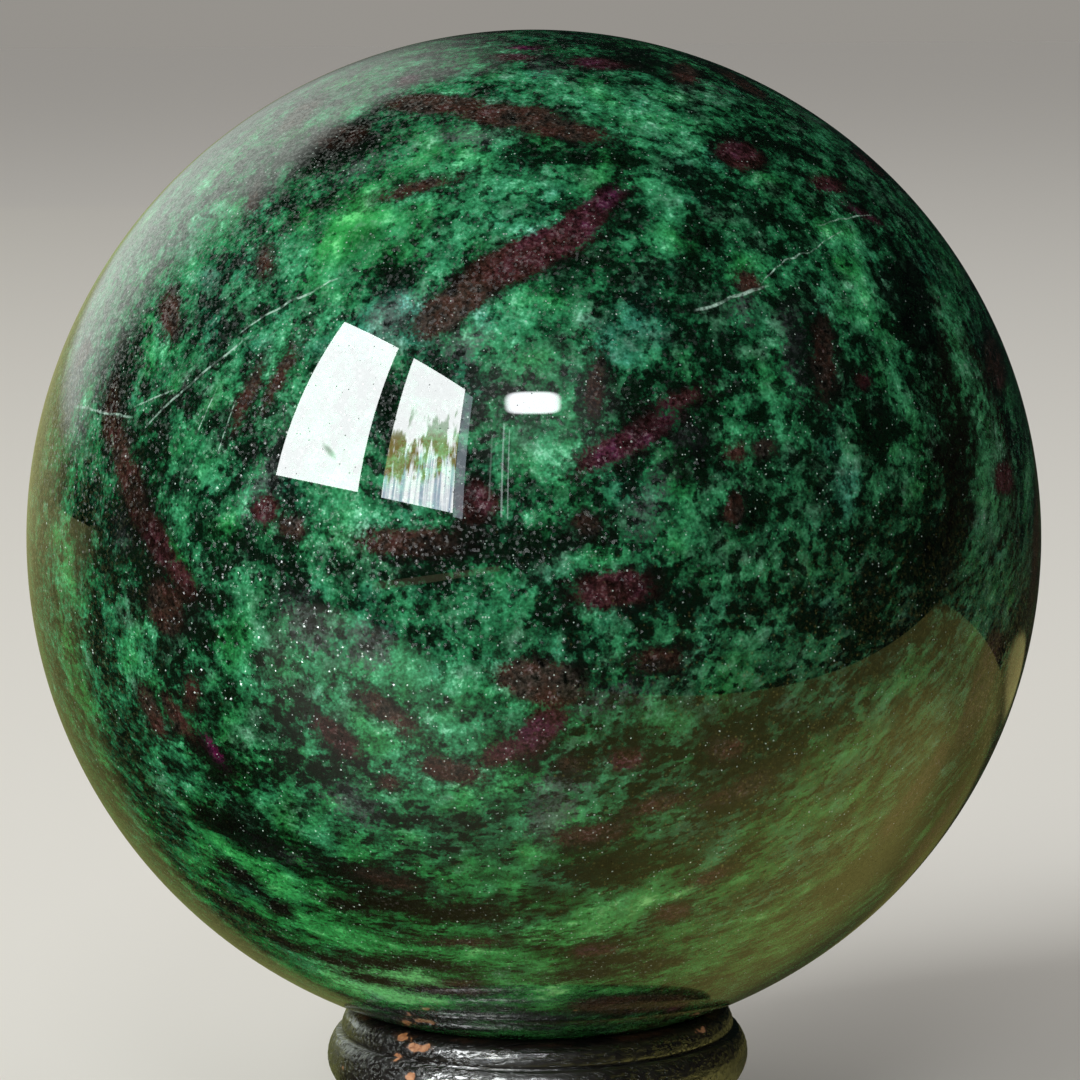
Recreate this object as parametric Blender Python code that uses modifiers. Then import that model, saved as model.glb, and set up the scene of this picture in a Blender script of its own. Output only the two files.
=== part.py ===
"""A polished stone ball resting in a turned wooden ring stand. Metres, +Z up.

The origin is the middle of the stand's underside, on the surface that it stands on. Run it with
blender --background --python part.py, or from Blender's text editor.
"""

import math

import bpy

MM = 0.001

# Driving dimensions, in millimetres.
BALL_DIAMETER = 100.0
STAND_HEIGHT = 16.2  # from the surface to the crest of the lip
CREST_DIAMETER = 35.4  # across the crest of the lip, where the seat begins
BEAD_DIAMETER = 42.1  # across the main bead, the widest part that shows
FOOT_DIAMETER = 45.4
BORE_DIAMETER = 27.0
SEAT_DIAMETER = 32.0  # where the cone of the seat runs nearest to the ball
SEAT_GAP = 0.3  # between ball and seat, so that the two bodies don't overlap

# The stand's mouldings, in millimetres: radii of the round stretches and heights above the surface.
LIP_RADIUS = 1.9
GROOVE_DEPTH = 0.35
GROOVE_HEIGHT = 13.97
BEAD_RADIUS = 3.65
BEAD_HEIGHT = 11.5
COVE_RADIUS = 2.2
COVE_HEIGHT = 6.2
NECK_DIAMETER = 36.6  # at the bottom of the cove
FOOT_RADIUS = 2.0
FOOT_HEIGHT = 2.2
UNDERSIDE_DIAMETER = 42.6
BORE_CHAMFER = 0.6

# How finely the round shapes are divided.
BALL_SEGMENTS = 64
BALL_RINGS = 40
STAND_SEGMENTS = 64
ARC_STEP = 22.0  # degrees, the longest step along a round stretch of the stand's outline

BALL_RADIUS = BALL_DIAMETER / 2
CREST = CREST_DIAMETER / 2
BORE = BORE_DIAMETER / 2
SEAT = SEAT_DIAMETER / 2

# The seat is a cone that touches a sphere SEAT_GAP larger than the ball, at the seat's diameter.
SEAT_SLOPE = math.asin(SEAT / (BALL_RADIUS + SEAT_GAP))


def seat_depth(radius):
    """How far below the ball's centre the cone of the seat lies, at this distance from the axis."""
    at_seat = (BALL_RADIUS + SEAT_GAP) * math.cos(SEAT_SLOPE)
    return at_seat + (SEAT - radius) * math.tan(SEAT_SLOPE)


BALL_HEIGHT = STAND_HEIGHT + seat_depth(CREST)  # of the ball's centre above the surface


def clear_scene():
    for old in list(bpy.data.objects):
        bpy.data.objects.remove(old)


def make_collection(name):
    collection = bpy.data.collections.new(name)
    bpy.context.scene.collection.children.link(collection)
    return collection


def make_material(name, colour, roughness, coat):
    material = bpy.data.materials.new(name)
    material.use_nodes = True
    shader = material.node_tree.nodes["Principled BSDF"]
    shader.inputs["Base Color"].default_value = (*colour, 1.0)
    shader.inputs["Roughness"].default_value = roughness
    shader.inputs["Metallic"].default_value = 0.0
    shader.inputs["Coat Weight"].default_value = coat
    return material


def arc(centre, radius, start, end):
    """Points of a round stretch from one angle to another, in degrees, with 0 pointing outwards."""
    steps = math.ceil(abs(end - start) / ARC_STEP)
    points = []
    for step in range(steps + 1):
        angle = math.radians(start + (end - start) * step / steps)
        across = centre[0] + radius * math.cos(angle)
        up = centre[1] + radius * math.sin(angle)
        points.append((across, up))
    return points


def stand_outline():
    """The stand's section as a closed loop of (distance from the axis, height) in millimetres.

    It runs down the outer side from the crest of the lip to the foot, in along the underside,
    and up the bore to the seat.
    """
    lip = (CREST, STAND_HEIGHT - LIP_RADIUS)
    bead = (BEAD_DIAMETER / 2 - BEAD_RADIUS, BEAD_HEIGHT)
    cove = (NECK_DIAMETER / 2 + COVE_RADIUS, COVE_HEIGHT)
    foot = (FOOT_DIAMETER / 2 - FOOT_RADIUS, FOOT_HEIGHT)
    groove = (CREST + LIP_RADIUS - GROOVE_DEPTH, GROOVE_HEIGHT)
    seat_foot = (BORE, BALL_HEIGHT - seat_depth(BORE))

    outline = arc(lip, LIP_RADIUS, 90, -4)
    outline += [groove]
    outline += arc(bead, BEAD_RADIUS, 41, -60)
    outline += arc(cove, COVE_RADIUS, 140, 240)
    outline += arc(foot, FOOT_RADIUS, 110, -60)
    outline += [(UNDERSIDE_DIAMETER / 2, 0.0)]
    outline += [(BORE + BORE_CHAMFER, 0.0)]
    outline += [(BORE, BORE_CHAMFER)]
    outline += [seat_foot]
    return outline


def make_ball(collection, material):
    bpy.ops.mesh.primitive_uv_sphere_add(
        segments=BALL_SEGMENTS,
        ring_count=BALL_RINGS,
        radius=BALL_RADIUS * MM,
        location=(0.0, 0.0, BALL_HEIGHT * MM),
    )
    ball = bpy.context.active_object
    ball.name = "stone_sphere"
    ball.data.name = "stone_sphere"
    ball.data.materials.append(material)
    ball.data.shade_smooth()
    for owner in list(ball.users_collection):
        owner.objects.unlink(ball)
    collection.objects.link(ball)
    return ball


def make_ring_stand(collection, material):
    """The outline turned once about the axis. The loop is closed, so the ring is one solid."""
    corners = [(across * MM, 0.0, up * MM) for across, up in stand_outline()]
    edges = [(i, (i + 1) % len(corners)) for i in range(len(corners))]
    section = bpy.data.meshes.new("ring_stand")
    section.from_pydata(corners, edges, [])
    stand = bpy.data.objects.new("ring_stand", section)
    collection.objects.link(stand)
    section.materials.append(material)

    turn = stand.modifiers.new("Turn", "SCREW")
    turn.axis = "Z"
    turn.angle = math.tau
    turn.steps = STAND_SEGMENTS
    turn.render_steps = STAND_SEGMENTS
    turn.use_merge_vertices = True
    turn.merge_threshold = 0.00001
    turn.use_smooth_shade = True
    return stand


def main():
    clear_scene()
    collection = make_collection("decorative_sphere")
    stone = make_material("polished_green_stone", (0.035, 0.13, 0.06), 0.12, 1.0)
    lacquer = make_material("black_lacquered_wood", (0.022, 0.018, 0.016), 0.38, 0.4)
    make_ball(collection, stone)
    make_ring_stand(collection, lacquer)


main()
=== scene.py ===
import math
import random

import bpy
import numpy as np
from mathutils import Matrix, Vector, noise


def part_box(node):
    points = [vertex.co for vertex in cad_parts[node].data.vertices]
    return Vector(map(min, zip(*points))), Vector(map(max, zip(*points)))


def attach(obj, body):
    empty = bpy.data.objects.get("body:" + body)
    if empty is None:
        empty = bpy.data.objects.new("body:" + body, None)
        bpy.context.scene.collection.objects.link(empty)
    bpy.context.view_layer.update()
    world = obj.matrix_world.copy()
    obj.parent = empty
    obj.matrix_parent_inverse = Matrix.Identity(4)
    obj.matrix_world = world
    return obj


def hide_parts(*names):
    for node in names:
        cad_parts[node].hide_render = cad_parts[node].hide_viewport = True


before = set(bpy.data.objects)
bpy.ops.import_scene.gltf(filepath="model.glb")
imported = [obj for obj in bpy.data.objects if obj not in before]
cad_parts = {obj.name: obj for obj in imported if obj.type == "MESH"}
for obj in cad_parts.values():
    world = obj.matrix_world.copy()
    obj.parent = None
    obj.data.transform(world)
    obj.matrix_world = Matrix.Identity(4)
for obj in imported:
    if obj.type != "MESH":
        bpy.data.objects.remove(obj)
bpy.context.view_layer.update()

mm = 0.001

ballLow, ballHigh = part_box("stone_sphere")
ballCentre = (ballLow + ballHigh) / 2
ballRadius = (ballHigh.z - ballLow.z) / 2
print("frame loaded, ball", round(ballRadius / mm, 2), "mm in radius")


# Places on the ball are given as east and north in degrees, seen from the front.
def onBall(east, north):
    e, n = math.radians(east), math.radians(north)
    return Vector((math.sin(e) * math.cos(n), -math.cos(e) * math.cos(n), math.sin(n)))


# A frame of axes on the ball's skin: along the patch, across it, and straight out.
def patchAxes(east, north, turn):
    out = onBall(east, north)
    side = Vector((0, 0, 1)).cross(out).normalized()
    up = out.cross(side)
    t = math.radians(turn)
    along = side * math.cos(t) + up * math.sin(t)
    return along, out.cross(along), out


# Camera, at the photo's angle: a little above the ball's middle, nearly level.
camera = {
    "distance": 450 * mm,  # from the ball's centre
    "elevation": 6.4,
    "roll": -0.4,
    "aimRight": 0.6 * mm,  # the ball sits a touch left of and above the middle of the frame
    "aimDown": 0.3 * mm,
    "ballWidthInFrame": 1015 / 1080,
    "sensor": 36.0,
}


def makeCamera(c):
    e = math.radians(c["elevation"])
    back = Vector((0, -math.cos(e), math.sin(e)))
    data = bpy.data.cameras.new("camera")
    data.sensor_width = c["sensor"]
    seen = ballRadius / math.sqrt(c["distance"] ** 2 - ballRadius ** 2)  # half the ball's width, at 1 m
    data.lens = c["ballWidthInFrame"] * c["sensor"] / (2 * seen)
    data.clip_start = 0.01
    data.clip_end = 60
    rig = bpy.data.objects.new("camera", data)
    bpy.context.collection.objects.link(rig)
    right = Vector((1, 0, 0))
    up = back.cross(right)
    aim = ballCentre + right * c["aimRight"] - up * c["aimDown"]
    rig.location = ballCentre + back * c["distance"]
    look = (aim - rig.location).to_track_quat("-Z", "Y")
    rig.rotation_mode = "QUATERNION"
    rig.rotation_quaternion = look @ Matrix.Rotation(math.radians(c["roll"]), 3, "Z").to_quaternion()
    bpy.context.scene.camera = rig


makeCamera(camera)
print("camera placed")


# Small helpers for node trees, used by the pieces, their finishes and the stage.
class Tree:
    def __init__(self, tree):
        self.tree = tree

    def add(self, kind, inputs=None, **settings):
        node = self.tree.nodes.new(kind)
        for name, value in settings.items():
            setattr(node, name, value)
        for name, value in (inputs or {}).items():
            self.feed(node.inputs[name], value)
        return node

    def feed(self, socket, value):
        if isinstance(value, bpy.types.Node):
            value = next(o for o in value.outputs if o.enabled)
        if isinstance(value, bpy.types.NodeSocket):
            self.tree.links.new(value, socket)
        else:
            socket.default_value = value

    def math(self, operation, a, b=0.0, c=0.0):
        return self.add("ShaderNodeMath", {0: a, 1: b, 2: c}, operation=operation).outputs[0]

    def plus(self, a, b):
        return self.math("ADD", a, b)

    def minus(self, a, b):
        return self.math("SUBTRACT", a, b)

    def times(self, a, b):
        return self.math("MULTIPLY", a, b)

    # base, and each of these noises as far as it is off its middle, times its weight
    def mixed(self, base, *parts):
        for value, weight in parts:
            base = self.math("MULTIPLY_ADD", self.minus(value, 0.5), weight, base)
        return base

    def vector(self, operation, a, b=(0, 0, 0), scale=1.0):
        node = self.add("ShaderNodeVectorMath", {0: a, 1: b}, operation=operation)
        if operation == "SCALE":
            self.feed(node.inputs["Scale"], scale)
        return node.outputs["Value" if operation in ("LENGTH", "DISTANCE", "DOT_PRODUCT") else "Vector"]

    # 0 below low, 1 above high, smooth between, or the other way round
    def step(self, value, low, high, start=0.0, end=1.0):
        ends = {"Value": value, "From Min": low, "From Max": high, "To Min": start, "To Max": end}
        return self.add("ShaderNodeMapRange", ends, interpolation_type="SMOOTHSTEP").outputs[0]

    def blend(self, amount, a, b, way="MIX"):
        node = self.add("ShaderNodeMix", data_type="RGBA", blend_type=way)
        for socket, value in ((node.inputs[0], amount), (node.inputs[6], a), (node.inputs[7], b)):
            self.feed(socket, (*value, 1) if isinstance(value, tuple) else value)
        return node.outputs[2]

    # the colour, tinted by this where amount is 1
    def tint(self, amount, colour, by):
        return self.blend(amount, colour, self.blend(1.0, colour, by, "MULTIPLY"))

    # noise with features about this many units across
    def noise(self, space, size, detail=2.0, rough=0.5, out=0):
        scale = self.math("DIVIDE", 1.0, size) if isinstance(size, bpy.types.NodeSocket) else 1 / size
        settings = {"Vector": space, "Scale": scale, "Detail": detail, "Roughness": rough}
        return self.add("ShaderNodeTexNoise", settings).outputs[out]

    def ramp(self, value, stops):
        node = self.add("ShaderNodeValToRGB", {"Fac": value})
        bar = node.color_ramp.elements
        while len(bar) < len(stops):
            bar.new(0.5)
        for element, (place, colour) in zip(bar, stops):
            element.position = place
            element.color = (*colour, 1)
        return node.outputs["Color"]

    # the place in the object's own space, from a middle
    def here(self, middle=(0, 0, 0)):
        return self.vector("SUBTRACT", self.add("ShaderNodeTexCoord").outputs["Object"], middle)

    def parts(self, value):
        return self.add("ShaderNodeSeparateXYZ", {0: value}).outputs

    def kept(self, name):
        return self.add("ShaderNodeAttribute", attribute_name=name).outputs["Fac"]

    def mapped(self, space, turned=False, **settings):
        values = {"Vector": space, **{name.capitalize(): value for name, value in settings.items()}}
        return self.add("ShaderNodeMapping", values, vector_type="TEXTURE" if turned else "POINT").outputs[0]


def newFinish(name):
    finish = bpy.data.materials.new(name)
    finish.use_nodes = True
    return finish, Tree(finish.node_tree), finish.node_tree.nodes["Principled BSDF"].inputs


def addObject(name, data):
    thing = bpy.data.objects.new(name, data)
    bpy.context.collection.objects.link(thing)
    return thing


# Ends a tree that makes a piece: smooth, real geometry with its finish on.
def closeTree(t, shape, finish):
    smooth = t.add("GeometryNodeSetShadeSmooth", {"Geometry": shape})
    real = t.add("GeometryNodeRealizeInstances", {"Geometry": smooth})
    dressed = t.add("GeometryNodeSetMaterial", {"Geometry": real, "Material": finish})
    t.add("NodeGroupOutput", {"Geometry": dressed})


socketKinds = {float: "Float", int: "Int", tuple: "Vector", Vector: "Vector", bpy.types.Material: "Material"}


# A piece that a tree makes from its mesh and from these inputs, turned into a plain mesh.
def turnOut(name, mesh, fillTree, values):
    piece = addObject(name, mesh)
    group = bpy.data.node_groups.new(name, "GeometryNodeTree")
    sockets = group.interface
    sockets.new_socket("Geometry", in_out="INPUT", socket_type="NodeSocketGeometry")
    for label, value in values.items():
        sockets.new_socket(label, in_out="INPUT", socket_type="NodeSocket" + socketKinds[type(value)])
    sockets.new_socket("Geometry", in_out="OUTPUT", socket_type="NodeSocketGeometry")
    fillTree(Tree(group))
    modifier = piece.modifiers.new(name, "NODES")
    modifier.node_group = group
    for item in sockets.items_tree:
        if item.item_type == "SOCKET" and item.in_out == "INPUT" and item.name in values:
            modifier[item.identifier] = values[item.name]
    bpy.context.view_layer.update()
    graph = bpy.context.evaluated_depsgraph_get()
    made = bpy.data.meshes.new_from_object(piece.evaluated_get(graph))
    piece.modifiers.clear()
    piece.data = made
    made.name = name
    return piece


def meshPoints(mesh):
    flat = np.zeros(len(mesh.vertices) * 3)
    mesh.vertices.foreach_get("co", flat)
    return flat.reshape(-1, 3)


def keepValues(mesh, name, values):
    mesh.attributes.new(name, "FLOAT", "POINT").data.foreach_set("value", values)


# The ball. Its skin is a cube's grid pushed out to a sphere, so that it has no poles. The broad
# clouds in the stone are kept with its points, and the finish adds what is finer.
ball = {
    "gridPerSide": 129,  # points along an edge of the cube
    "unevenness": 0.003 * mm,  # what the polishing left
    "unevennessSize": 9 * mm,
    "cloudSize": 8.0 * mm,
    "clumpSize": 2.7 * mm,
    "swaySize": 3.6 * mm,
    "layersUp": (-0.20, -0.62, 0.76),  # the stone lies in layers across this direction
    "layersBelow": 24 * mm,  # but only below this height along it, from the middle
    "layering": 0.038 / mm,  # how fast they grow thinner from there down
}


# Stretches space below a height along one direction, more and more, so that a noise there lies in layers.
def layeredPlace(t, place, up, height, layering):
    below = t.math("MINIMUM", t.minus(t.vector("DOT_PRODUCT", place, up), height), 0.0)
    shift = t.times(t.times(below, t.math("ABSOLUTE", below)), layering)
    return t.vector("ADD", place, t.vector("SCALE", up, scale=shift))


def ballTree(t):
    given = t.add("NodeGroupInput").outputs
    n = given["Points"]
    cube = t.add("GeometryNodeMeshCube", {"Size": (2, 2, 2), **{"Vertices " + axis: n for axis in "XYZ"}})
    place = t.add("GeometryNodeInputPosition").outputs[0]
    # equal angles rather than equal steps, so that the grid is even on the sphere
    outward = t.vector("NORMALIZE", t.vector("TANGENT", t.vector("SCALE", place, scale=math.pi / 4)))
    inPlace = t.vector("SCALE", outward, scale=given["Radius"])
    lift = t.times(t.minus(t.noise(inPlace, given["Uneven Size"], 1.0), 1.0), given["Unevenness"])
    risen = t.vector("ADD", inPlace, t.vector("SCALE", outward, scale=lift))
    layered = layeredPlace(t, inPlace, given["Layers Up"], given["Layers Below"], given["Layering"])
    shape = cube.outputs["Mesh"]
    kept = (("cloud", "FLOAT", t.noise(layered, given["Cloud Size"])),
            ("clump", "FLOAT", t.noise(layered, given["Clump Size"], 3.0)),
            ("sway", "FLOAT_VECTOR", t.noise(inPlace, given["Sway Size"], 3.0, out=1)))
    for name, kind, value in kept:
        store = t.add("GeometryNodeStoreNamedAttribute", {"Geometry": shape, "Name": name}, data_type=kind)
        t.feed(next(i for i in store.inputs if i.name == "Value" and i.enabled), value)
        shape = store.outputs[0]
    placed = t.vector("ADD", risen, given["Centre"])
    moved = t.add("GeometryNodeSetPosition", {"Geometry": shape, "Position": placed})
    closeTree(t, moved, given["Finish"])


# What lies in the stone where the photo shows it: east, north, length and width in mm, and how far
# the length is turned up from east. Ruby runs from brown over wine to magenta.
inclusions = {
    "umber": [
        (-9, 31.2, 9.6, 3.8, 40), (0.6, -8.4, 8, 4, -10),
    ],
    "wine": [
        (-1, 36.6, 15, 4.2, 33), (36.8, 50.2, 5, 4, 5), (52, 45.2, 4.6, 2.2, -12), (-6, 71.5, 4.6, 2.2, 0),
        (16.5, 20.2, 4.4, 1.6, 12), (-43.8, 4.8, 7, 2.9, -50), (-39.8, 1, 5, 2.2, -46),
        (-21.8, -14.8, 5.2, 2.4, -42), (-3.4, -16.4, 4, 2, 30), (9.6, -17, 3.4, 2.2, 0), (8, 1, 7, 3.2, 2),
        (-6, 9.5, 4, 3.6, 30), (-29, 8.8, 2.2, 2.6, 60), (40, 21.2, 1.8, 1.6, 0),
        (22.5, -32.4, 3.8, 1.6, 20), (18.6, -37.6, 3.6, 2.2, 0), (64, 9, 5, 3, 0),
    ],
    "plum": [
        (6.6, 40.8, 6, 3.4, 34), (55.5, 41, 4.2, 1.2, -30), (22, 69.5, 6, 3, -10), (10, 16, 10, 2.6, 26),
        (0.6, -14, 6.4, 3, 48), (8.8, -43.6, 4.4, 2.2, 10),
    ],
    "purple": [
        (10.4, 43.5, 4.6, 2.2, 36), (-2, 75, 3.4, 1.6, 0),
    ],
    "brown": [
        (-21, 60, 11, 3.2, -5), (-4, 57.5, 11, 3.6, -12), (6, 54.5, 8, 2.6, -5), (-37, 53.5, 5.6, 3.4, 10),
        (-17.6, 45.7, 7.4, 1.5, 20), (-46, 44, 4.4, 1.4, -60), (-37, 35.6, 3.6, 1.6, -60),
        (-50, 29, 6, 2.6, -50), (27.5, 33, 2.4, 2.2, 0), (35.5, 24, 8, 2.4, 72), (6.8, 22, 5.6, 1.6, 86),
        (-29.4, 22.6, 6.4, 1.5, 70), (-33.4, 20.2, 6, 1.6, 76), (-55, 17.4, 6.4, 2.6, -72),
        (-51.6, 13.2, 6.4, 2.8, -64), (-48, 9.4, 7.2, 3, -54), (-42.4, -2.2, 5, 4.4, -20),
        (-46.6, -14.2, 5, 2.4, -70), (-42.6, -14.4, 5, 2, -60), (-39.8, -11.6, 3, 1.8, 60),
        (-15.8, -11.9, 6.6, 2, -32), (-16.2, -19.9, 2.1, 1.8, -20), (-9.2, -18.2, 6, 2.6, -22),
        (12.6, -6.6, 4.6, 2, 8), (-13, 5.8, 9, 2.6, 0), (-25.6, 7.2, 2.6, 2.4, 0), (22, 14.6, 2, 1.6, 0),
        (25.4, 14.6, 1.8, 1.6, 0), (5.4, 7.6, 2.8, 1.8, -20), (21.2, 8.8, 1.8, 3.2, -20),
        (21, -16.6, 3.6, 2.2, -10), (23, -21.6, 7.6, 2.2, 20), (13.8, -22.6, 6.4, 2, 14),
        (6.6, -26, 7, 2.2, 8), (4, -17.4, 2.2, 1.6, 0), (-18.9, -32.5, 6, 1.8, -12),
        (-10, -41.6, 8, 1.2, 2), (-15.9, -52, 9, 2, 0), (60, -14, 12, 5, 75), (52, -25, 12, 3.6, 62),
        (-13, -50, 4, 1.6, 0),
    ],
    "magenta": [
        (-38.5, -17.9, 3.4, 1.3, -58),
    ],
    "black": [
        (-42, -33.6, 5, 1.9, -25), (-37.9, -38.7, 3, 2.2, -20), (-26.3, -36.3, 4.4, 1.6, -12),
        (-19.7, -35.8, 6.6, 1.9, -8), (-9.3, -37.1, 7, 2, -4), (-34, -47.3, 6.6, 1.9, -20),
        (-25.8, -46.8, 6.6, 1.8, -10), (-16.9, -46.4, 6.6, 1.8, -4), (-29, -50.5, 6.6, 1.9, -8),
        (-47.4, -40.5, 6.6, 1.8, -30), (-42.3, -44.9, 5.6, 1.7, -28), (12, -45.6, 7, 2.2, 12),
        (8, -48, 6.6, 2, 6), (19, -46.6, 4.6, 1.7, 14),
    ],
}

rubyTone = {
    "black": -0.7, "umber": 0.15, "brown": 0.24, "wine": 0.5, "plum": 0.66, "purple": 0.82, "magenta": 1.0,
}

# Broad zones in the green, placed likewise, with how much lighter they are and how much leafier (+) or bluer
# (-) the green is there.
# Mostly the stone's own tone, but the light ones lowest on the ball, at north -52, are partly painted light
# thrown up from the table, and the light bluish one at east -17, north 29.4 is a painted sheen of the panes.
zones = [
    (-23, 37, 15, 9, 65, 0.19, 0.9), (-29.5, 43, 9, 6, 20, 0.05, 0.5), (-37.5, 34, 12, 6, 20, 0.22, -0.4),
    (-26, 28.5, 16, 6, 12, 0.26, -0.2), (-12, 50, 16, 8, 10, 0.22, 0.3), (-3, 43, 8, 6, 0, 0.26, -0.1),
    (-7, 63, 24, 6, 0, 0.28, 0), (27.7, 53, 12, 7, -40, 0.35, 0.1), (40, 62, 8, 5, 0, 0.28, 0),
    (19, 43.6, 14, 3.6, 85, 0.27, -0.1), (46, 36, 14, 4, 75, 0.22, 0.5), (44, 27, 7, 5, 80, 0.1, 0.3),
    (61, 21, 16, 5, 86, 0.24, 0.1), (-8, 28.5, 12, 6, 20, 0.3, -0.4), (11.5, 28, 9, 7, 30, 0.26, -0.5),
    (3.6, 15.4, 7, 5, 0, 0.26, -0.2), (35.5, 10.5, 9, 3.6, 80, 0.12, -0.5), (-18, 9.2, 12, 5, 0, 0.2, -0.1),
    (-41, 3.6, 9, 1.6, -46, 0.24, 1.6), (-14, -4.6, 15, 8, -20, 0.2, -0.3),
    (-14.4, -9.8, 6, 4, 0, -0.16, 0), (-29, -5, 8, 8, 0, 0.04, 0.2), (-12.5, -17.5, 14, 9, 0, 0.26, 0),
    (-26, -22, 8, 6, 0, 0.04, 0), (8, -2.8, 16, 4.4, 0, 0.08, -0.2), (5, -21, 10, 5, 20, 0.12, 0),
    (34, -22, 18, 7, 55, 0.06, 0.4), (-36, -33.8, 20, 4.2, -24, 0.34, 0.8),
    (-20, -43.6, 26, 4.6, -6, 0.24, 0.8), (8, -38.6, 24, 4.6, 14, 0.36, 0.4),
    (30, -46, 24, 10, 20, 0.14, 0.6), (-12, -52.5, 40, 7, 0, 0.42, 0.4), (-62, -6, 24, 7, 88, 0.05, 0.6),
    (-58, 36, 20, 8, 60, 0.12, 0), (60, 2, 16, 6, 85, 0.16, 0.1), (23.6, 39, 11, 4.6, 80, -0.38, 0),
    (12, 37, 7, 4.4, 60, -0.12, 0), (18, 30, 8, 6, 80, -0.34, 0), (5, 35.2, 6, 5, 30, -0.34, 0),
    (-18, 33.6, 8, 5, 30, -0.34, 0), (9, 51.4, 14, 4.6, 0, -0.32, 0), (31, 50.5, 4, 3, 80, -0.22, 0),
    (40, 51, 8, 6, 0, -0.44, 0), (43, 42, 7, 6, 80, -0.4, 0), (-37, 51.4, 9, 6, 0, -0.62, 0),
    (-51, 51, 8, 6, 0, -0.13, 0), (-25, 51.4, 7, 5, 0, -0.17, 0), (33.6, 23, 12, 5, 84, -0.28, 0),
    (41, 18.6, 9, 5, 80, -0.34, 0), (54, 22, 24, 7, 86, -0.34, 0), (14.5, 20.6, 12, 6, 10, -0.36, 0),
    (17, 14.6, 7, 6, 20, -0.46, 0), (40, 2, 16, 13, 40, -0.18, 0), (49, 3, 20, 6, 78, -0.32, 0),
    (10.5, 12.6, 6, 3.4, 0, -0.12, 0), (22.8, 8.4, 7, 5, 60, -0.28, 0), (15, 0, 20, 3.4, -5, -0.18, -0.2),
    (3, -2, 6, 3, -40, -0.28, 0), (-6, 5, 15, 3.2, 8, -0.5, 0), (-30, 5, 12, 5, -30, -0.24, 0),
    (-19, 30.5, 7, 3, 15, -0.2, -0.6), (-45, 5, 11, 5, -50, -0.34, 0), (-45, -1, 7, 5, -40, -0.12, 0),
    (-36, -4.6, 6, 6, 0, -0.18, 0), (-37, -11, 7, 6, 0, -0.26, 0), (-37.6, -18.6, 9, 6, -50, -0.34, 0),
    (-36, -27, 12, 4, -20, -0.22, 0), (-26, -32, 14, 3, -14, -0.38, 0), (-9.6, -23.2, 8, 4, 0, -0.18, 0),
    (-8, -36.6, 20, 2.6, 0, -0.28, 0), (-42, -27.2, 6, 3.4, -30, -0.4, 0), (13.6, 43.6, 8, 6, 70, -0.24, 0),
    (-57, 20, 14, 4, -60, -0.2, 0), (-1.5, -9, 9, 5, -8, 0.34, 0.4), (23, -12, 8, 6, 20, -0.34, 0),
    (29, -17.4, 12, 4, 20, -0.22, 0), (12, -30.6, 9, 4, 12, -0.38, 0), (50, -35, 9, 6, 30, -0.74, 0),
    (-39, 21, 7, 5, 0, -0.16, 0), (-29, 15, 6, 5, 0, -0.16, 0), (4, 9, 6, 5, 0, -0.18, 0),
    (-27, -52, 14, 8, 0, 0.6, 0.2), (16, -52, 12, 6, 0, -0.26, 0), (-6, 37, 10, 5, 30, 0.14, 0),
    (29, 34, 7, 5, 0, 0.14, 0.4), (60, 33, 8, 5, 0, -0.16, 0), (-53, 27, 6, 5, 0, 0.14, 0.4),
    (25, 21, 10, 6, 0, 0.06, 0.2), (-46.5, 11, 7, 12, 0, -0.28, 0), (23.6, 15.2, 7, 4, 0, 0.14, 0),
    (48.4, 13.2, 7, 6, 0, -0.08, 0), (-28.5, 9.4, 6, 5, 0, 0.16, 0), (-8.6, 8.4, 6, 5, 0, -0.24, 0),
    (-3, 9.6, 5, 5, 0, 0.18, 0), (-55.6, 2.4, 7, 9, 0, -0.28, 0), (-35.8, 2, 6, 6, 0, -0.2, 0),
    (0.6, 3, 9, 5, 0, 0.17, -0.1), (22.6, 2, 7, 5, 0, -0.08, 0), (-46, -5.6, 7, 5, 0, 0.2, 0.3),
    (-25.5, -9.6, 11, 6, 0, 0.14, 0), (-49, -18.8, 6, 5, 0, 0.08, 0), (-2.6, -16, 6, 5, 0, -0.14, 0),
    (7.5, -28.6, 7, 4, 0, -0.14, 0), (38, -6, 8, 5, 40, -0.16, 0), (10, -9.4, 7, 5, 0, -0.14, 0),
    (-52.5, 46.5, 9, 7, -50, -0.16, 0), (-41.5, 27, 6, 4, 20, -0.2, 0), (-54.5, -27, 7, 5, -40, -0.14, 0),
    (-11.5, -40, 8, 2.4, 0, -0.16, 0), (-17, 29.4, 8, 5, 40, 0.12, -1.4),
]

# Grey lilac patches, placed likewise.
lilacs = [
    (-11, 53.5, 5, 2.8, -10), (-29, 48.5, 5.6, 2.8, 30), (-16, 30, 6, 3, 20), (-24, -2.5, 7, 4.2, -50),
    (-17.5, -5, 5, 4, 60), (-49.5, 5, 4, 2.6, -60), (-21, -22.5, 6, 4, -40), (32, 25, 8, 2.6, 75),
    (12, 9.6, 6, 2.4, 60), (2, -23.5, 6, 4.6, 80), (8, -10.6, 7, 2.4, 15), (2.6, -19.6, 5, 3.4, 15),
    (16.5, 16, 3, 2.4, 0), (-32, -29.5, 6, 2.2, -10), (-29, 12, 8, 3.2, 70), (-8, 26.5, 5, 3, 40),
    (26, 30, 3.6, 2.4, 60),
]

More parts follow.
